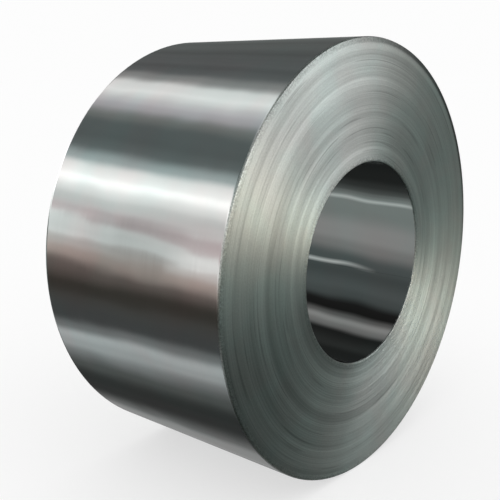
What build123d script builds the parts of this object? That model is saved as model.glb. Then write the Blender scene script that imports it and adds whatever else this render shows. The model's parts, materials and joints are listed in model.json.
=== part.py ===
import os
from math import acos, cos, degrees, radians, sin

from build123d import *

# Driving sizes of the coil, in millimetres
bore_diameter = 508.0
outside_diameter = 1100.0
strip_width = 570.0
strip_thickness = 2.0
side_wander = 1.5

# Where the strip's inner and outer ends lie round the coil, in degrees from +X towards +Z
head_angle = -20.0
tail_angle = -60.0

# Groups of turns from the bore outwards: the share of the build-up where each group ends,
# and the share of the side wander by which its turns stand towards +Y
turn_group_shares = [
    (0.06, 0.0),
    (0.11, -0.5),
    (0.15, 0.6),
    (0.21, -0.8),
    (0.27, 0.4),
    (0.34, -0.3),
    (0.40, 0.9),
    (0.47, -0.6),
    (0.53, 0.5),
    (0.60, -0.2),
    (0.66, -1.0),
    (0.72, 0.6),
    (0.80, -0.4),
    (0.87, 1.0),
    (0.94, -0.5),
    (1.00, 0.2),
]

# The coil lies on its rim: its axis is along Y, one outside radius above the floor at Z zero
bore_radius = bore_diameter / 2
outside_radius = outside_diameter / 2
build_up = outside_radius - bore_radius
turn_count = build_up / strip_thickness
coil_centre = Vector(0, 0, outside_radius)
coil_axis = Axis(coil_centre, (0, 1, 0))


def radius_at(share):
    # A group ends after a whole number of turns, and the last one at the outside of the coil
    if share == 1:
        return outside_radius
    return bore_radius + round(share * turn_count) * strip_thickness


def at_angle(radius, angle):
    return (radius * cos(radians(angle)), radius * sin(radians(angle)))


def turn_groups():
    # Inner radius, outer radius and side shift of each group of turns
    groups = []
    inner = bore_radius
    for end_share, side_share in turn_group_shares:
        outer = radius_at(end_share)
        groups.append((inner, outer, side_share * side_wander))
        inner = outer
    return groups


def wound(groups):
    # Turns between the first and the last group: a stepped half-section turned about the axis
    left_edge = []
    right_edge = []
    for inner, outer, side in groups:
        for radius in (inner, outer):
            left_edge.append((radius, side - strip_width / 2))
            right_edge.append((radius, side + strip_width / 2))
    half_section = make_face(Polyline(left_edge + right_edge[::-1], close=True))
    section_plane = Plane(coil_centre, x_dir=(1, 0, 0), z_dir=(0, 0, 1))
    return revolve(section_plane * half_section, axis=coil_axis)


def ring(outline, side):
    # Strip-wide ring: an outline seen along the axis, with its middle shifted sideways
    end_plane = Plane(coil_centre + Vector(0, side, 0), x_dir=(1, 0, 0), z_dir=(0, -1, 0))
    return extrude(end_plane * outline, amount=strip_width / 2, both=True)


def head_turns(inner, outer, side):
    # Innermost turns: the strip's head ends square on the bore, and the second turn
    # comes straight off the bore, on a tangent, to pass over the head's corner
    climb_angle = degrees(acos(inner / (inner + strip_thickness)))
    head_corner = at_angle(inner, head_angle)
    head_top = at_angle(inner + strip_thickness, head_angle)
    leaving_point = at_angle(inner, head_angle - climb_angle)
    bore_line = [
        CenterArc((0, 0), inner, head_angle, 360 - climb_angle),
        Line(leaving_point, head_top),
        Line(head_top, head_corner),
    ]
    return ring(Circle(outer) - make_face(bore_line), side)


def tail_turns(inner, outer, side):
    # Outermost turns: the strip's tail ends square, one thickness above the turn below it,
    # and half a turn of a smaller arc about a shifted centre rises back to the full radius
    shift = strip_thickness / 2
    rise_centre = at_angle(shift, tail_angle + 180)
    tail_top = at_angle(outer, tail_angle)
    tail_foot = at_angle(outer - strip_thickness, tail_angle)
    rim_line = [
        CenterArc(rise_centre, outer - shift, tail_angle, 180),
        CenterArc((0, 0), outer, tail_angle + 180, 180),
        Line(tail_top, tail_foot),
    ]
    return ring(make_face(rim_line) - Circle(inner), side)


groups = turn_groups()
steel_coil = head_turns(*groups[0]) + wound(groups[1:-1]) + tail_turns(*groups[-1])

os.makedirs("parts", exist_ok=True)
export_step(steel_coil, "parts/steel_coil.step")
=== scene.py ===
import bmesh
import bpy
import json
import math
import random
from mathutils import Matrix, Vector


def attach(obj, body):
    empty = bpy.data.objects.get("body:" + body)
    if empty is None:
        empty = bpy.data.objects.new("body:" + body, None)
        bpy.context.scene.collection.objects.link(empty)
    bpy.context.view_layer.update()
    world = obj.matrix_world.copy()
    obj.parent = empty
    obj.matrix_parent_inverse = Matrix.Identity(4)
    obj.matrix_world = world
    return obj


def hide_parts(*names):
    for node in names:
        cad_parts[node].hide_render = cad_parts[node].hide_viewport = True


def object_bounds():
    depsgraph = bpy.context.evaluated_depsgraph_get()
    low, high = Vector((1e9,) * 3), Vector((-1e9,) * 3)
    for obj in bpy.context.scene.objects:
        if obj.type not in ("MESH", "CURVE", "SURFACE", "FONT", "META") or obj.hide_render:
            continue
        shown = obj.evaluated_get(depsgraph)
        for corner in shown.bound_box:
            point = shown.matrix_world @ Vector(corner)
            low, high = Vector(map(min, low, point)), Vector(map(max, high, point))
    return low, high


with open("model.json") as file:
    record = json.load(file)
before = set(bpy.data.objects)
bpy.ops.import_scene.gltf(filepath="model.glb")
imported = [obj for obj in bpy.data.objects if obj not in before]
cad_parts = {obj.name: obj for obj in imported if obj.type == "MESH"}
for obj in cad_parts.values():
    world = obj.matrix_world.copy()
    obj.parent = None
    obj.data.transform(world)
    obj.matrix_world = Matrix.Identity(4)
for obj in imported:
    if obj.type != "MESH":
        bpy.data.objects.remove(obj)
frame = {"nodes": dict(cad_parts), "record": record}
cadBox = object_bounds()
bpy.context.scene.view_settings.view_transform = "Standard"

# Sizes read from the frame: the coil's axis runs along Y
boreMount = next(m for m in frame["record"]["mounts"] if m["name"] == "bore")
axisHeight = boreMount["pos_m"][2]
boreRadius = boreMount["dims"]["r_mm"] / 1000
stripWidth = boreMount["dims"]["length_mm"] / 1000
outsideRadius = min(axisHeight - cadBox[0].z, cadBox[1].z - axisHeight, -cadBox[0].x)
buildUp = outsideRadius - boreRadius
middleRadius = (boreRadius + outsideRadius) / 2
halfWidth = stripWidth / 2
print("frame read: bore", boreRadius, "outside", round(outsideRadius, 5), "width", stripWidth)


# The wound strip
coil = {
    "name": "coil_wound_strip",
    "turns": 148,
    "turnCuts": (4, 58),  # cuts that make 5 x 59 lengths of an end, two points for each turn
    "headAngle": -20,  # inner end of the strip, in degrees from +X towards +Z
    "tailAngle": -60,  # outer end of the strip
    "tailToHeadSteps": 20,  # spin steps from the tail round to the head
    "headToTailSteps": 140,  # spin steps over the rest of the round
    "angleSlack": 0.001,  # degrees by which a section may miss the head
    "turnGap": 0.0004,  # sloped step between one turn's edge and the next
    "sideDrift": 0.2,  # share of the CAD groups' side steps that the turns drift through
    "readDigits": (4, 5),  # decimals to which the groups' radii and sides are read
    "setBack": 0.00006,  # most that one turn stands back from its neighbours
    "turnSlope": 0.00002,  # most that a turn's edge slopes
    "rimRound": 0.004,  # rolled-over corner of the outermost and innermost turns
    "rimCuts": 3,  # extra points on that corner
    "wallCuts": 2,  # loops on each plain wall
    "wallLoop": 0.004,  # how far inside the rolled corner they lie
    "mergeDistance": 0.00001,
    "flatDistance": 0.000001,  # edges shorter than this are dissolved
    "smoothAngle": 32,
    "seed": 11,
}
pitch = buildUp / coil["turns"]
inLine = pitch / 10  # points nearer than this count as in line


def polar(point):
    # radius and angle round the coil's axis, the angle in degrees from +X towards +Z
    radius = math.hypot(point.x, point.z - axisHeight)
    return radius, math.degrees(math.atan2(point.z - axisHeight, point.x))


def turnGroups():
    # outer radius and near side of each group of turns, read off the CAD coil from the bore outwards
    radiusDigits, sideDigits = coil["readDigits"]
    sides = {}
    for vertex in frame["nodes"]["steel_coil"].data.vertices:
        if vertex.co.y < 0:
            radius = round(polar(vertex.co)[0], radiusDigits)
            sides.setdefault(radius, set()).add(round(vertex.co.y, sideDigits))
    groups = []
    side = min(sides[round(boreRadius, radiusDigits)])
    for radius in sorted(sides):
        if len(sides[radius]) == 2:  # a step from one group to the next
            groups.append((radius, side))
            side = next(y for y in sides[radius] if y != side)
    groups.append((outsideRadius, side))
    return groups


def rolledCorner(radius):
    # how far the rolled-over corner falls back at this radius
    rim = coil["rimRound"]
    depth = min(radius - boreRadius, outsideRadius - radius)
    if depth >= rim:
        return 0
    return rim - math.sqrt(rim**2 - (rim - depth) ** 2)


def sideAt(groups, radius):
    # near side of the coil at this radius, drifting from the middle of one group to that of the next
    inner = [boreRadius] + [outer for outer, _ in groups[:-1]]
    middles = [(a + outer) / 2 for a, (outer, _) in zip(inner, groups)]
    sides = [side for _, side in groups]
    number = sum(1 for middle in middles if middle <= radius)
    before, after = max(0, number - 1), min(number, len(groups) - 1)
    drift = sides[before]
    if after != before:
        share = (radius - middles[before]) / (middles[after] - middles[before])
        drift += (sides[after] - sides[before]) * share**2 * (3 - 2 * share)
    return -halfWidth + (drift + halfWidth) * coil["sideDrift"]


def endPoints(groups, rng):
    # radius, side and set-back of each point of one end's profile, two points for each turn
    points = []
    reach = (pitch - coil["turnGap"]) / 2
    for turn in range(coil["turns"]):
        middle = boreRadius + (turn + 0.5) * pitch
        setBack = rng.uniform(0, 1) * coil["setBack"]
        slope = rng.uniform(-1, 1) * coil["turnSlope"]
        for radius, back in ((middle - reach, max(0, slope)), (middle + reach, max(0, -slope))):
            points.append([radius, sideAt(groups, radius), setBack + back])
    points[0][0] = boreRadius
    points[-1][0] = outsideRadius
    for a, b in ((0, 1), (-2, -1)):  # extra points on the two rolled corners
        first, last = points[a], points[b]
        cuts = coil["rimCuts"]
        for cut in range(1, cuts + 1):
            share = cut / (cuts + 1)
            points.append([x + (y - x) * share for x, y in zip(first, last)])
    points.sort(key=lambda p: p[0])
    return points


def selectEdges(obj, test):
    bm = bmesh.from_edit_mesh(obj.data)
    for edge in bm.edges:
        edge.select_set(False)
    for edge in bm.edges:
        if test(edge.verts[0].co, edge.verts[1].co):
            edge.select_set(True)
    bmesh.update_edit_mesh(obj.data)


def alongX(a, b):
    return abs(a.y - b.y) < inLine


def alongY(a, b):
    return abs(a.x - b.x) < inLine


def atWall(point):
    return min(abs(point.x - boreRadius), abs(point.x - outsideRadius)) < inLine


def halfSection():
    # a plane from the bore to the outside, its ends cut into turns, kept as a closed line
    bpy.ops.object.select_all(action="DESELECT")
    bpy.ops.mesh.primitive_plane_add(size=1, calc_uvs=False, location=(middleRadius, 0, axisHeight))
    obj = bpy.context.object
    obj.name = coil["name"]
    obj.scale = (buildUp, stripWidth, 1)
    bpy.ops.object.transform_apply(location=True, rotation=True, scale=True)
    bpy.ops.object.mode_set(mode="EDIT")
    bpy.ops.mesh.select_mode(type="EDGE")
    bpy.ops.mesh.delete(type="ONLY_FACE")
    for cuts in coil["turnCuts"]:
        selectEdges(obj, alongX)
        bpy.ops.mesh.subdivide(number_cuts=cuts)
    selectEdges(obj, lambda a, b: alongX(a, b) and atWall(a) != atWall(b))
    bpy.ops.mesh.subdivide(number_cuts=coil["rimCuts"])
    selectEdges(obj, alongY)
    bpy.ops.mesh.subdivide(number_cuts=coil["wallCuts"])
    bpy.ops.object.mode_set(mode="OBJECT")
    return obj


def shapeSection(obj):
    # the two ends take the turns' places, and the walls' loops move out to the rolled corners
    groups = turnGroups()
    rng = random.Random(coil["seed"])
    for sign in (-1, 1):
        end = [v for v in obj.data.vertices if abs(v.co.y - sign * halfWidth) < inLine]
        end.sort(key=lambda v: v.co.x)
        for vertex, (radius, side, back) in zip(end, endPoints(groups, rng)):
            face = side if sign < 0 else side + stripWidth
            vertex.co.x = radius
            vertex.co.y = face - sign * (back + rolledCorner(radius))
    inset = halfWidth - coil["rimRound"] - coil["wallLoop"]
    for vertex in obj.data.vertices:
        if abs(vertex.co.y) < halfWidth / 2:
            vertex.co.y = math.copysign(inset, vertex.co.y) + sideAt(groups, vertex.co.x) + halfWidth


def windStrip(obj):
    # spin from the tail to the head, a seam there, on to the tail again, and a seam there too
    centre = (0, 0, axisHeight)
    headTurn = coil["headAngle"] - coil["tailAngle"]
    runs = ((coil["tailToHeadSteps"], headTurn), (coil["headToTailSteps"], 360 - headTurn))
    angles = [0]
    bpy.ops.object.mode_set(mode="EDIT")
    bpy.ops.mesh.select_all(action="SELECT")
    bpy.ops.transform.rotate(
        value=math.radians(coil["tailAngle"]), orient_axis="Y", center_override=centre
    )
    for steps, turn in runs:
        bpy.ops.mesh.spin(steps=steps, angle=math.radians(turn), center=centre, axis=(0, 1, 0))
        bpy.ops.mesh.extrude_edges_move()
        start = angles[-1]
        angles += [start + turn * step / steps for step in range(1, steps + 1)]
        angles.append(start + turn)
    bpy.ops.object.mode_set(mode="OBJECT")
    return angles  # of each section, from the tail, with both sections of a seam


def tailDrop(angle):
    # from the tail's foot the outermost turn rises by one thickness over half a round
    if angle >= 180:
        return 0
    return pitch * (1 + math.cos(math.radians(angle))) / 2


def headClimb(angle):
    # the second turn leaves the bore on a tangent just before the head and passes over it
    headTurn = coil["headAngle"] - coil["tailAngle"]
    climbTurn = math.degrees(math.acos(boreRadius / (boreRadius + pitch)))
    along = angle - (headTurn - climbTurn)
    if along <= 0 or along > climbTurn + coil["angleSlack"]:
        return 0
    return boreRadius / math.cos(math.radians(along)) - boreRadius


def placeStripEnds(obj, angles, count):
    # the outermost and innermost turns thin out where the strip's tail and head lie on them
    headSeam = coil["tailToHeadSteps"] + 1
    tailSeam = len(angles) - 1
    for vertex in obj.data.vertices:
        section = vertex.index // count
        angle = angles[section]
        drop = tailDrop(0 if section == tailSeam else angle)
        climb = 0 if section == headSeam else headClimb(angle)
        radius = polar(vertex.co)[0]
        outer = max(0, 1 - (outsideRadius - radius) / pitch)
        inner = max(0, 1 - (radius - boreRadius) / pitch)
        grown = (radius - drop * outer + climb * inner) / radius
        vertex.co.x *= grown
        vertex.co.z = axisHeight + (vertex.co.z - axisHeight) * grown


def closeCoil(obj):
    bpy.ops.object.mode_set(mode="EDIT")
    bpy.ops.mesh.select_mode(type="VERT")
    bpy.ops.mesh.select_all(action="SELECT")
    bpy.ops.mesh.remove_doubles(threshold=coil["mergeDistance"])
    bpy.ops.mesh.dissolve_degenerate(threshold=coil["flatDistance"])
    bpy.ops.mesh.select_all(action="SELECT")
    bpy.ops.mesh.normals_make_consistent(inside=False)
    bpy.ops.object.mode_set(mode="OBJECT")
    bpy.ops.object.shade_smooth_by_angle(angle=math.radians(coil["smoothAngle"]))


def woundStrip():
    obj = halfSection()
    shapeSection(obj)
    count = len(obj.data.vertices)
    angles = windStrip(obj)
    placeStripEnds(obj, angles, count)
    closeCoil(obj)
    print("coil wound:", len(angles), "sections of", count, "points,", len(obj.data.polygons), "faces")
    return obj


woundCoil = woundStrip()


# Nodes that several materials use
midNoise = (0.3, 0.7)  # where most values of a noise lie


def addNode(tree, kind, inputs=None, **settings):
    # a node with its settings, and its inputs set or linked
    made = tree.nodes.new(kind)
    for name, value in settings.items():
        setattr(made, name, value)
    for name, value in (inputs or {}).items():
        if isinstance(value, bpy.types.NodeSocket):
            tree.links.new(value, made.inputs[name])
        else:
            made.inputs[name].default_value = value
    return made


def newMaterial(name):
    material = bpy.data.materials.new(name)
    material.use_nodes = True
    material.node_tree.nodes.clear()
    return material, material.node_tree


def maths(tree, operation, *values):
    return addNode(tree, "ShaderNodeMath", dict(enumerate(values)), operation=operation).outputs["Value"]


def times(tree, *values):
    # all the values multiplied
    total = values[0]
    for value in values[1:]:
        total = maths(tree, "MULTIPLY", total, value)
    return total


def vectors(tree, operation, *values):
    # the second value of SCALE is a number, and a length or a dot product comes out as one
    names = (0, "Scale") if operation == "SCALE" else (0, 1)
    made = addNode(tree, "ShaderNodeVectorMath", dict(zip(names, values)), operation=operation)
    return made.outputs["Value" if operation in ("LENGTH", "DOT_PRODUCT") else "Vector"]


def spread(tree, value, span, ends):
    # a value over a span, spread between two ends
    return addNode(tree, "ShaderNodeMapRange", {
        "Value": value, "From Min": span[0], "From Max": span[1],
        "To Min": ends[0], "To Max": ends[1]}).outputs["Result"]


def softStep(tree, value, span):
    # 0 before a span and 1 after it, with a soft change between
    return addNode(tree, "ShaderNodeMapRange", {
        "Value": value, "From Min": span[0], "From Max": span[1]},
        interpolation_type="SMOOTHSTEP").outputs["Result"]


def noise(tree, place, detail, scale=1, **more):
    return addNode(tree, "ShaderNodeTexNoise", {
        "Vector": place, "Scale": scale, "Detail": detail, **more}).outputs["Fac"]


def mixColours(tree, share, first, second, blend="MIX"):
    return addNode(tree, "ShaderNodeMix", {
        "Factor": share, "A": first, "B": second}, data_type="RGBA", blend_type=blend).outputs["Result"]


def centredPlace(tree, scale=(1, 1, 1)):
    # Object coordinates about the coil's axis, stretched
    place = addNode(tree, "ShaderNodeTexCoord").outputs["Object"]
    return vectors(tree, "MULTIPLY", vectors(tree, "ADD", place, (0, 0, -axisHeight)), scale)


def roundAngle(tree, parts):
    # the angle from X towards Z
    return maths(tree, "ARCTAN2", parts["Z"], parts["X"])


def roundShare(tree, angle):
    # an angle as a share of a full round
    return maths(tree, "FRACT", times(tree, angle, 1 / math.tau))


# Finishes
steel = {
    "sheetColour": (0.62, 0.64, 0.63, 1),
    "edgeColour": (0.60, 0.65, 0.61, 1),
    "sheetMottle": (5, 0.6, 0.93),  # blotches a metre, share of their tints, darkest
    "edgeMottle": (7, 0.5, 0.88),
    "mottleTints": ((0.35, (1.0, 0.93, 0.92, 1)), (0.65, (0.92, 1.0, 0.98, 1))),
    "sheetRoughness": (0.06, 0.10),  # least and most, along the rolling lines
    "edgeRoughness": (0.34, 0.44),
    "edgeAnisotropy": 0.9,
    "edgeTurn": 0.25,  # of a round, from along the turns to across them
    "edgeFacing": 0.05,  # share of Y in the normal past which a face is a turn's edge
    "lineStretch": (1.2, 130, 1.2),  # rolling lines, round the coil
    "lineHeight": 0.00001,
    "waveStretch": (4.0, 3.2, 4.0),  # long soft waves in the sheet
    "waveHeight": 0.003,
    # rings on the ends: how many a metre and how soon they change round the coil, darkest and lightest
    "bandRings": (22, 0.5),
    "bandTone": (0.86, 1.10),
    "groupRings": (60, 0.5),
    "groupTone": (0.88, 1.08),
    "turnRings": (0.6 / pitch, 1.1),
    "turnTone": (0.92, 1.06),
    "arcRings": (0.3 / pitch, 1.9),  # short dark arcs of painted shade, as where a turn stands back
    "arcTone": (0.76, 1.0),
    "arcSpan": (0.23, 0.30),  # values of the arcs' noise over which they fade out
    "grainScale": 260,
    "grainTone": (0.93, 1.06),
    "burrScale": 300,
    "burrSpan": (0.35, 0.65),  # values of the burr's noise from darkest to lightest
    "burrTone": (0.56, 1.04),  # darkest and lightest speck of the burr on the two rims, darker on the whole: burr and painted shade along the rims
    "burrReach": (0.020, 0.003),  # from a rim, where the burr and its painted shade begin and are full
    # painted shade on a stretch of the outermost turns
    "oilAngle": 48,  # its middle, in degrees from +X towards +Z
    "oilSpan": (58, 18),  # degrees from there where it ends and is full
    "oilReach": (0.017, 0.011),  # from the outside
    "oilTone": 0.30,
}


def mottleGroup():
    # soft blotches: lightness by one noise, a drift between two tints by another
    group = bpy.data.node_groups.new("steelMottle", "ShaderNodeTree")
    kinds = {"Place": "Vector", "Colour": "Color", "Scale": "Float", "Tint": "Float", "Darkest": "Float"}
    for name, kind in kinds.items():
        group.interface.new_socket(name, in_out="INPUT", socket_type="NodeSocket" + kind)
    group.interface.new_socket("Colour", in_out="OUTPUT", socket_type="NodeSocketColor")
    entry = addNode(group, "NodeGroupInput").outputs
    blotch = noise(group, entry["Place"], 4, entry["Scale"])
    drift = noise(group, entry["Place"], 2, entry["Scale"], Distortion=0.6)
    hue = addNode(group, "ShaderNodeValToRGB", {"Fac": drift})
    for element, (place, tint) in zip(hue.color_ramp.elements, steel["mottleTints"]):
        element.position = place
        element.color = tint
    shade = vectors(group, "SCALE", entry["Colour"], spread(group, blotch, midNoise, (entry["Darkest"], 1)))
    tinted = mixColours(group, entry["Tint"], shade, hue.outputs["Color"], "MULTIPLY")
    addNode(group, "NodeGroupOutput", {"Colour": tinted})
    return group


def mottled(tree, mottle, colour, look):
    scale, tint, darkest = look
    return addNode(tree, "ShaderNodeGroup", {
        "Place": centredPlace(tree), "Colour": colour,
        "Scale": scale, "Tint": tint, "Darkest": darkest}, node_tree=mottle).outputs["Colour"]


def brightSheet(mottle):
    # the strip's rolled faces, seen on the outermost turn and in the bore
    material, tree = newMaterial("bright_rolled_sheet")
    lines = noise(tree, centredPlace(tree, steel["lineStretch"]), 4, Roughness=0.6)
    waves = noise(tree, centredPlace(tree, steel["waveStretch"]), 2)
    soft = addNode(tree, "ShaderNodeBump", {
        "Height": waves, "Strength": 1, "Distance": steel["waveHeight"]})
    fine = addNode(tree, "ShaderNodeBump", {
        "Height": lines, "Strength": 1, "Distance": steel["lineHeight"], "Normal": soft.outputs["Normal"]})
    shader = addNode(tree, "ShaderNodeBsdfPrincipled", {
        "Base Color": mottled(tree, mottle, steel["sheetColour"], steel["sheetMottle"]), "Metallic": 1,
        "Roughness": spread(tree, lines, midNoise, steel["sheetRoughness"]),
        "Normal": fine.outputs["Normal"]})
    addNode(tree, "ShaderNodeOutputMaterial", {"Surface": shader.outputs["BSDF"]})
    return material


def ringNoise(tree, rings, detail):
    # a noise in rings, so many a metre, that changes slowly round the coil
    count, drift = rings
    flat = centredPlace(tree, (1, 0, 1))
    across = times(tree, vectors(tree, "LENGTH", flat), count)
    slow = vectors(tree, "SCALE", vectors(tree, "NORMALIZE", flat), drift)
    upright = addNode(tree, "ShaderNodeCombineXYZ", {"Y": across}).outputs["Vector"]
    return noise(tree, vectors(tree, "ADD", slow, upright), detail)


def ringTone(tree, single):
    # tones of the bands, groups and turns, the dark arcs of painted shade and the grain, all multiplied
    band = ringNoise(tree, steel["bandRings"], 1)
    group = ringNoise(tree, steel["groupRings"], 2)
    # the arcs paint shade as of turns standing back
    arcs = ringNoise(tree, steel["arcRings"], 0)
    grain = noise(tree, centredPlace(tree), 2, steel["grainScale"])
    return times(
        tree,
        spread(tree, band, midNoise, steel["bandTone"]),
        spread(tree, group, midNoise, steel["groupTone"]),
        spread(tree, single, midNoise, steel["turnTone"]),
        spread(tree, arcs, steel["arcSpan"], steel["arcTone"]),
        spread(tree, grain, midNoise, steel["grainTone"]))


def rimTone(tree):
    # the burr on the two rims, which also paints shade along them, and a stretch of painted shade on the
    # outermost turns
    flat = centredPlace(tree, (1, 0, 1))
    radius = vectors(tree, "LENGTH", flat)
    toOutside = maths(tree, "SUBTRACT", outsideRadius, radius)
    depth = maths(tree, "MINIMUM", maths(tree, "SUBTRACT", radius, boreRadius), toOutside)
    # burr specks, darker on the whole, so that they also paint shade along both rims
    specks = noise(tree, centredPlace(tree), 2, steel["burrScale"])
    burr = addNode(tree, "ShaderNodeMix", {
        "Factor": spread(tree, depth, steel["burrReach"], (0, 1)), "A": 1,
        "B": spread(tree, specks, steel["burrSpan"], steel["burrTone"])}).outputs["Result"]
    # painted shade: the outermost turns darken round one angle
    middle = math.radians(steel["oilAngle"])
    way = (math.cos(middle), 0, math.sin(middle))
    towards = vectors(tree, "DOT_PRODUCT", vectors(tree, "NORMALIZE", flat), way)
    span = [math.cos(math.radians(angle)) for angle in steel["oilSpan"]]
    shadedStretch = times(
        tree,
        spread(tree, towards, span, (0, 1)),
        spread(tree, toOutside, steel["oilReach"], (0, 1)))
    return times(tree, burr, spread(tree, shadedStretch, (0, 1), (1, steel["oilTone"])))


def turnEdges(mottle):
    # the slit edges of the turns on the coil's two ends
    material, tree = newMaterial("slit_turn_edges")
    single = ringNoise(tree, steel["turnRings"], 1)
    colour = mottled(tree, mottle, steel["edgeColour"], steel["edgeMottle"])
    toned = vectors(tree, "SCALE", colour, times(tree, ringTone(tree, single), rimTone(tree)))
    along = addNode(tree, "ShaderNodeTangent", direction_type="RADIAL", axis="Y")
    shader = addNode(tree, "ShaderNodeBsdfPrincipled", {
        "Base Color": toned, "Metallic": 1,
        "Roughness": spread(tree, single, midNoise, steel["edgeRoughness"]),
        "Anisotropic": steel["edgeAnisotropy"], "Anisotropic Rotation": steel["edgeTurn"],
        "Tangent": along.outputs["Tangent"]})
    addNode(tree, "ShaderNodeOutputMaterial", {"Surface": shader.outputs["BSDF"]})
    return material


def dressCoil(obj):
    mottle = mottleGroup()
    obj.data.materials.append(brightSheet(mottle))
    obj.data.materials.append(turnEdges(mottle))
    for face in obj.data.polygons:
        face.material_index = 1 if abs(face.normal.y) > steel["edgeFacing"] else 0
    print("coil dressed")


# The coil's own map, unrolled from the tail round, so that a bake keeps the turns sharp
unrolled = {
    "map": "OFBake",
    # where each band begins and ends up the map: the ends from the bore outwards, the walls along Y
    "nearEnd": (0.31, 0.005),
    "farEnd": (0.32, 0.63),
    "outside": (0.83, 0.64),
    "bore": (0.84, 0.955),
    "head": (0.966, 0.978),
    "tail": (0.984, 0.996),
    "cornerRoom": 0.005,  # room beside the ends for the rolled corners
    "wallFacing": 0.5,  # outward share of a wall's normal; the strip's square ends have less
}


def mapBand(face, radius, angle):
    # the band of the map that a face belongs to
    inner = radius < middleRadius
    if face.material_index == 1:
        return "nearEnd" if face.normal.y < 0 else "farEnd"
    facing = math.radians(angle)
    outwards = face.normal.x * math.cos(facing) + face.normal.z * math.sin(facing)
    if abs(outwards) < unrolled["wallFacing"]:
        return "head" if inner else "tail"
    return "bore" if inner else "outside"


def mapPlace(band, point, radius, rounds):
    # across the map by the angle from the tail, up it by radius on the ends and along Y on the walls
    begins, ends = unrolled[band]
    along = point.y / stripWidth + 0.5
    if band in ("head", "tail"):
        depth = min(radius - boreRadius, outsideRadius - radius) / pitch
        return along, begins + (ends - begins) * min(1, max(0, depth))
    if band in ("nearEnd", "farEnd"):
        room = unrolled["cornerRoom"]
        fall = max(0, halfWidth - abs(point.y))
        out = radius + math.copysign(fall, radius - middleRadius)
        along = (out - boreRadius + room) / (buildUp + 2 * room)
    return rounds, begins + (ends - begins) * along


def unrollCoil(obj):
    layer = obj.data.uv_layers.new(name=unrolled["map"])
    places = [polar(vertex.co) for vertex in obj.data.vertices]
    for face in obj.data.polygons:
        radius, angle = polar(face.center)
        middle = (angle - coil["tailAngle"]) / 360 % 1
        band = mapBand(face, radius, angle)
        for corner, number in zip(face.loop_indices, face.vertices):
            radius, angle = places[number]
            rounds = (angle - coil["tailAngle"]) / 360
            rounds += round(middle - rounds)  # onto the face's own side of the seam
            point = obj.data.vertices[number].co
            layer.data[corner].uv = mapPlace(band, point, radius, min(1, max(0, rounds)))
    print("coil unrolled on its map")


dressCoil(woundCoil)
unrollCoil(woundCoil)
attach(woundCoil, "root")
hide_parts("steel_coil")


# Studio: a pale floor, a white surround, and a tent of bright and dark strips that only the metal sees
studio = {
    "paper": (0.98, 0.98, 0.98, 1),
    "paperRoughness": 0.9,
    "floorSize": 160,
    "softLight": 0.8,  # what the surround gives the floor
    "sunStrength": 0.74,
    "sunTilt": (25, -20),
    "sunSpread": 80,
    "shadowShare": 0.38,  # how much of the floor's own shading the camera sees
    "tentRadius": 40,
    "tentFacets": (48, 24),  # round it and up it
    "tentTurn": 25,  # the tent's strips run this many degrees off the coil's axis
    "tentPeak": 4.0,  # the level that a full ramp colour stands for
    "tints": {
        "plain": (1.0, 1.0, 1.0),
        "teal": (0.86, 1.0, 1.01),
        "mint": (0.93, 1.0, 0.98),
        "mist": (0.96, 1.0, 1.02),
        "rose": (1.22, 1.0, 0.93),
        "rust": (1.12, 1.0, 0.88),
        "moss": (0.79, 1.0, 1.0),
        "blush": (1.06, 1.0, 0.98),
        "sky": (1.03, 1.0, 1.06),
        "pink": (1.14, 1.0, 1.02),
        "straw": (1.14, 1.0, 0.82),
    },
    # strips round the tent: degrees from the right over the top, level and tint
    "strips": (
        (0, 0.20, "mint"), (40, 0.13, "mint"), (92, 0.13, "mist"), (98, 0.35, "plain"),
        (104, 1.0, "plain"), (108, 1.15, "plain"), (118, 0.55, "sky"), (124, 0.25, "mint"),
        (128, 0.15, "teal"), (140, 0.17, "teal"), (146, 0.60, "teal"), (150, 1.50, "plain"),
        (154, 1.75, "plain"), (163, 0.72, "plain"), (168, 0.60, "pink"), (171, 0.66, "pink"),
        (173.5, 1.02, "plain"), (178, 0.92, "plain"), (181, 0.58, "blush"), (187, 0.35, "rose"),
        (193, 0.13, "rose"), (199, 0.058, "rust"), (214, 0.085, "mist"), (218.5, 0.20, "mist"),
        (223.5, 0.57, "mist"), (227.5, 0.48, "mist"), (233, 0.24, "mist"), (240, 0.11, "mint"),
        (248, 0.045, "mint"), (257, 0.04, "plain"), (282, 0.31, "plain"), (325, 0.20, "mint")),
    "streaks": (30, 0.86, 1.14),  # fine streaks in the strips: how many, darkest and lightest
    # the pale strip under the brightest one leans, wanders, and is brightest towards its two ends
    "paleStart": (164, 169),  # degrees over which this begins, and ends below
    "paleEnd": (197, 189),
    "paleAlong": (0.66, 0.80),  # along Y
    "paleLean": 3.0,  # degrees to either side
    "paleWander": 2.2,
    "paleScale": (4, 16, 4),
    "paleLevel": (0.80, 1.22),  # in its middle and at its ends
    # the tent's front and back, from the floor up: height, level and tint
    "ends": (
        (-1.0, 0.01, "moss"), (-0.4, 0.07, "moss"), (-0.2, 0.26, "moss"), (0.0, 0.12, "moss"),
        (0.12, 1.5, "plain"), (0.25, 3.5, "sky"), (0.42, 0.65, "sky"), (0.6, 0.06, "sky"),
        (1.0, 0.05, "sky")),
    "endSide": (0.73, 0.98),  # along X, where that light begins to fade and ends
    "endFaded": 0.35,  # level where it has faded
    # an upright card in the front and in the back, right of the middle: height, level and tint
    "card": (
        (-0.18, 0.0, "straw"), (-0.10, 0.75, "straw"), (-0.02, 3.4, "straw"),
        (0.06, 2.8, "straw"), (0.14, 0.0, "straw")),
    "cardMiddle": 0.34,  # along X
    "cardReach": (0.12, 0.3),  # from its middle, where it begins to fade and ends
    "frontStart": (-0.1, -0.5),  # along Y, from strips only to front only
    "frontLeft": (-0.5, -0.15),  # along X, the same
    "backStart": (0.84, 0.95),  # along Y, from strips only to back only
}


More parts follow.
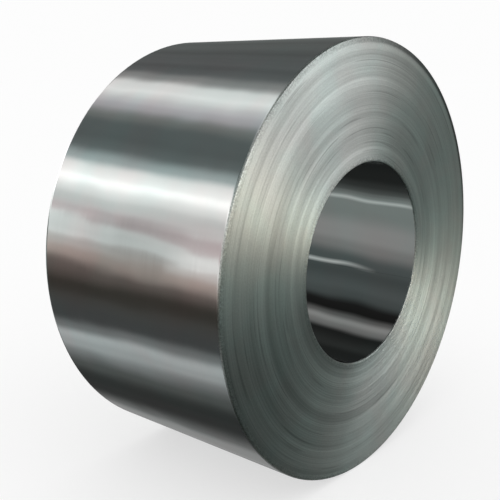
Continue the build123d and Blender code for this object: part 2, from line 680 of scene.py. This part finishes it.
def levelRamp(tree, value, stops):
    # stops are place from 0 to 1, level and tint; the ramp holds levels as shares of the tent's peak
    made = addNode(tree, "ShaderNodeValToRGB", {"Fac": value})
    ramp = made.color_ramp
    while len(ramp.elements) < len(stops):
        ramp.elements.new(0.5)
    for element, (place, level, tint) in zip(ramp.elements, stops):
        element.position = place
        element.color = [part * level / studio["tentPeak"] for part in studio["tints"][tint]] + [1]
    ramp.interpolation = "EASE"
    return made.outputs["Color"]


def roundRamp(tree, share, stops):
    # a ramp whose stops are in degrees
    return levelRamp(tree, share, [(degrees / 360, *stop) for degrees, *stop in stops])


def heightRamp(tree, height, stops):
    # a ramp whose stops are heights from -1 to 1
    return levelRamp(tree, height, [((z + 1) / 2, *stop) for z, *stop in stops])


def glossOnly(obj, material, colour):
    # lights a piece of the stage up with a colour that only gloss shows
    obj.visible_camera = False
    obj.visible_diffuse = False
    obj.visible_shadow = False
    tree = material.node_tree
    glow = addNode(tree, "ShaderNodeEmission", {"Color": colour, "Strength": studio["tentPeak"]})
    addNode(tree, "ShaderNodeOutputMaterial", {"Surface": glow.outputs["Emission"]})
    material.cycles.emission_sampling = "NONE"
    obj.data.materials.append(material)


def paleStrip(tree, way, y, share):
    # how far the pale strip is moved, as a share of a round, and how bright it is there
    inside = times(tree, *(
        softStep(tree, share, [degrees / 360 for degrees in studio[span]])
        for span in ("paleStart", "paleEnd")))
    lean = studio["paleLean"] / 360
    leaning = spread(tree, y, studio["paleAlong"], (-lean, lean))
    wander = studio["paleWander"] / 360
    waves = noise(tree, vectors(tree, "MULTIPLY", way, studio["paleScale"]), 2)
    wandering = spread(tree, waves, midNoise, (-wander, wander))
    away = maths(tree, "ABSOLUTE", spread(tree, y, studio["paleAlong"], (-1, 1)))
    level = spread(tree, away, (0, 1), studio["paleLevel"])
    bright = addNode(tree, "ShaderNodeMix", {"Factor": inside, "A": 1, "B": level})
    return times(tree, maths(tree, "ADD", leaning, wandering), inside), bright.outputs["Result"]


def tentStrips(tree, way, y):
    # strips by the angle about the tent's turned axis, with fine streaks in them
    turned = addNode(tree, "ShaderNodeMapping", {
        "Vector": way, "Rotation": (0, 0, math.radians(studio["tentTurn"]))})
    parts = addNode(tree, "ShaderNodeSeparateXYZ", {"Vector": turned.outputs["Vector"]}).outputs
    share = roundShare(tree, roundAngle(tree, parts))
    move, bright = paleStrip(tree, way, y, share)
    strips = roundRamp(tree, maths(tree, "ADD", share, move), studio["strips"])
    count, darkest, lightest = studio["streaks"]
    streaks = addNode(tree, "ShaderNodeTexNoise", {
        "W": share, "Scale": count, "Detail": 2}, noise_dimensions="1D").outputs["Fac"]
    level = times(tree, bright, spread(tree, streaks, midNoise, (darkest, lightest)))
    return vectors(tree, "SCALE", strips, level)


def tentEnds(tree, x, z):
    # light by height that fades to the right, and the upright card added to it
    height = spread(tree, z, (-1, 1), (0, 1))
    faded = [studio["endFaded"] / studio["tentPeak"]] * 3 + [1]
    sided = mixColours(
        tree, softStep(tree, x, studio["endSide"]), heightRamp(tree, height, studio["ends"]), faded)
    away = maths(tree, "ABSOLUTE", maths(tree, "SUBTRACT", x, studio["cardMiddle"]))
    onCard = softStep(tree, away, studio["cardReach"][::-1])
    card = vectors(tree, "SCALE", heightRamp(tree, height, studio["card"]), onCard)
    return vectors(tree, "ADD", sided, card)


def lightTent():
    bpy.ops.object.select_all(action="DESELECT")
    segments, rings = studio["tentFacets"]
    bpy.ops.mesh.primitive_uv_sphere_add(
        radius=studio["tentRadius"], segments=segments, ring_count=rings, location=(0, 0, axisHeight))
    tent = bpy.context.object
    tent.name = "light_tent"
    material, tree = newMaterial("tent_strips")
    way = vectors(tree, "NORMALIZE", addNode(tree, "ShaderNodeTexCoord").outputs["Object"])
    x, y, z = addNode(tree, "ShaderNodeSeparateXYZ", {"Vector": way}).outputs
    front = times(tree, softStep(tree, y, studio["frontStart"]), softStep(tree, x, studio["frontLeft"]))
    atEnds = maths(tree, "MAXIMUM", front, softStep(tree, y, studio["backStart"]))
    glossOnly(tent, material, mixColours(tree, atEnds, tentStrips(tree, way, y), tentEnds(tree, x, z)))


# A curved card just inside the bore, which only the bore's own gloss shows
boreCard = {
    "clearance": 0.004,
    "facets": 128,
    "slant": 9,  # degrees that the bands lean over a metre of the bore
    "waver": 3.0,  # degrees that they wave about
    "waverScale": (9, 5, 9),
    # bands round the bore: degrees from +X towards +Z, level and tint
    "bands": (
        (0, 0.34, "plain"), (6, 0.34, "plain"), (18, 0.27, "mint"), (26, 0.28, "mint"),
        (30, 0.28, "mint"), (33, 0.19, "mint"), (36, 0.09, "mint"), (41, 0.045, "mint"),
        (48, 0.022, "mint"), (70, 0.015, "mint"), (115, 0.02, "mint"), (150, 0.30, "plain"),
        (170, 0.26, "plain"), (202, 0.12, "teal"), (212, 0.32, "plain"), (222, 0.10, "plain"),
        (240, 0.016, "mint"), (276, 0.02, "mint"), (283, 0.036, "mint"), (294, 0.02, "mint"),
        (299.5, 0.22, "plain"), (304.5, 0.34, "plain"), (309, 0.12, "plain"), (312, 0.014, "plain"),
        (316, 0.016, "plain"), (322, 0.10, "teal"), (327, 0.12, "teal"), (338, 0.09, "teal"),
        (346, 0.12, "teal"), (354, 0.26, "plain"), (360, 0.34, "plain")),
    # thin bright streaks: angle, lean, half its width, level, and where it fades in along Y
    "streaks": (
        (28.6, 13, 2.2, 0.32, (-0.40, -0.25)),
        (-17.5, 7, 1.8, 0.52, (-0.17, -0.03))),
}


def boreStreak(tree, angle, along, streak):
    # brightness of one streak by the angle round the bore and the place along it
    middle, slant, width, level, fade = streak
    lean = maths(tree, "MULTIPLY_ADD", along, math.radians(slant), math.radians(middle))
    away = maths(tree, "ABSOLUTE", maths(tree, "SUBTRACT", angle, lean))
    return times(
        tree,
        spread(tree, away, (0, math.radians(width)), (1, 0)),
        spread(tree, along, fade, (0, level / studio["tentPeak"])))


def boreGlow():
    bpy.ops.object.select_all(action="DESELECT")
    bpy.ops.mesh.primitive_cylinder_add(
        vertices=boreCard["facets"], radius=boreRadius - boreCard["clearance"], depth=stripWidth,
        end_fill_type="NOTHING", location=(0, 0, axisHeight), rotation=(math.radians(90), 0, 0))
    card = bpy.context.object
    card.name = "bore_card"
    bpy.ops.object.transform_apply(location=True, rotation=True, scale=True)
    material, tree = newMaterial("bore_card_bands")
    parts = addNode(tree, "ShaderNodeSeparateXYZ", {"Vector": centredPlace(tree)}).outputs
    most = math.radians(boreCard["waver"])
    waves = noise(tree, centredPlace(tree, boreCard["waverScale"]), 1)
    angle = maths(tree, "ADD", roundAngle(tree, parts), spread(tree, waves, (0, 1), (-most, most)))
    lean = times(tree, parts["Y"], math.radians(boreCard["slant"]))
    lit = roundRamp(tree, roundShare(tree, maths(tree, "SUBTRACT", angle, lean)), boreCard["bands"])
    for streak in boreCard["streaks"]:
        lit = vectors(tree, "ADD", lit, boreStreak(tree, angle, parts["Y"], streak))
    glossOnly(card, material, lit)


def paperFloor():
    bpy.ops.object.select_all(action="DESELECT")
    bpy.ops.mesh.primitive_plane_add(size=studio["floorSize"])
    floor = bpy.context.object
    floor.name = "paper_floor"
    floor.visible_glossy = False
    material, tree = newMaterial("pale_paper")
    ray = addNode(tree, "ShaderNodeLightPath").outputs
    shader = addNode(tree, "ShaderNodeBsdfPrincipled", {
        "Base Color": studio["paper"], "Roughness": studio["paperRoughness"], "Specular IOR Level": 0})
    paper = addNode(tree, "ShaderNodeEmission", {"Color": studio["paper"], "Strength": 1})
    mixed = addNode(tree, "ShaderNodeMixShader", {
        0: times(tree, ray["Is Camera Ray"], 1 - studio["shadowShare"]),
        1: shader.outputs["BSDF"], 2: paper.outputs["Emission"]})
    addNode(tree, "ShaderNodeOutputMaterial", {"Surface": mixed.outputs["Shader"]})
    floor.data.materials.append(material)


def whiteSurround():
    world = bpy.data.worlds.new("white_surround")
    world.use_nodes = True
    tree = world.node_tree
    tree.nodes.clear()
    ray = addNode(tree, "ShaderNodeLightPath").outputs
    direct = maths(tree, "MAXIMUM", ray["Is Camera Ray"], ray["Is Glossy Ray"])
    seen = maths(tree, "MAXIMUM", direct, ray["Is Transmission Ray"])
    soft = addNode(tree, "ShaderNodeBackground", {
        "Color": (1, 1, 1, 1), "Strength": studio["softLight"]})
    white = addNode(tree, "ShaderNodeBackground", {"Color": studio["paper"], "Strength": 1})
    mixed = addNode(tree, "ShaderNodeMixShader", {
        0: seen, 1: soft.outputs["Background"], 2: white.outputs["Background"]})
    addNode(tree, "ShaderNodeOutputWorld", {"Surface": mixed.outputs["Shader"]})
    bpy.context.scene.world = world


def softSun():
    tilt = [math.radians(turn) for turn in studio["sunTilt"]]
    bpy.ops.object.light_add(type="SUN", rotation=(*tilt, 0))
    sun = bpy.context.object
    sun.name = "soft_overhead"
    sun.data.energy = studio["sunStrength"]
    sun.data.angle = math.radians(studio["sunSpread"])
    sun.visible_glossy = False


lightTent()
boreGlow()
paperFloor()
whiteSurround()
softSun()
print("studio lit")


# Camera at the photograph's viewing angle
view = {
    "azimuth": -49.96,
    "elevation": 12.55,
    "distance": 2.1457,  # from the coil's middle
    "aside": -0.0738,  # camera moved to its right
    "above": -0.0062,
    "lens": 56.567,
}


def photoCamera():
    bpy.ops.object.camera_add()
    camera = bpy.context.object
    camera.name = "photo_camera"
    camera.data.lens = view["lens"]
    camera.rotation_euler = (math.radians(90 - view["elevation"]), 0, math.radians(view["azimuth"]))
    turned = camera.rotation_euler.to_matrix()
    camera.location = turned @ Vector((view["aside"], view["above"], view["distance"]))
    camera.location.z += axisHeight
    bpy.context.scene.camera = camera


photoCamera()
print("camera set")
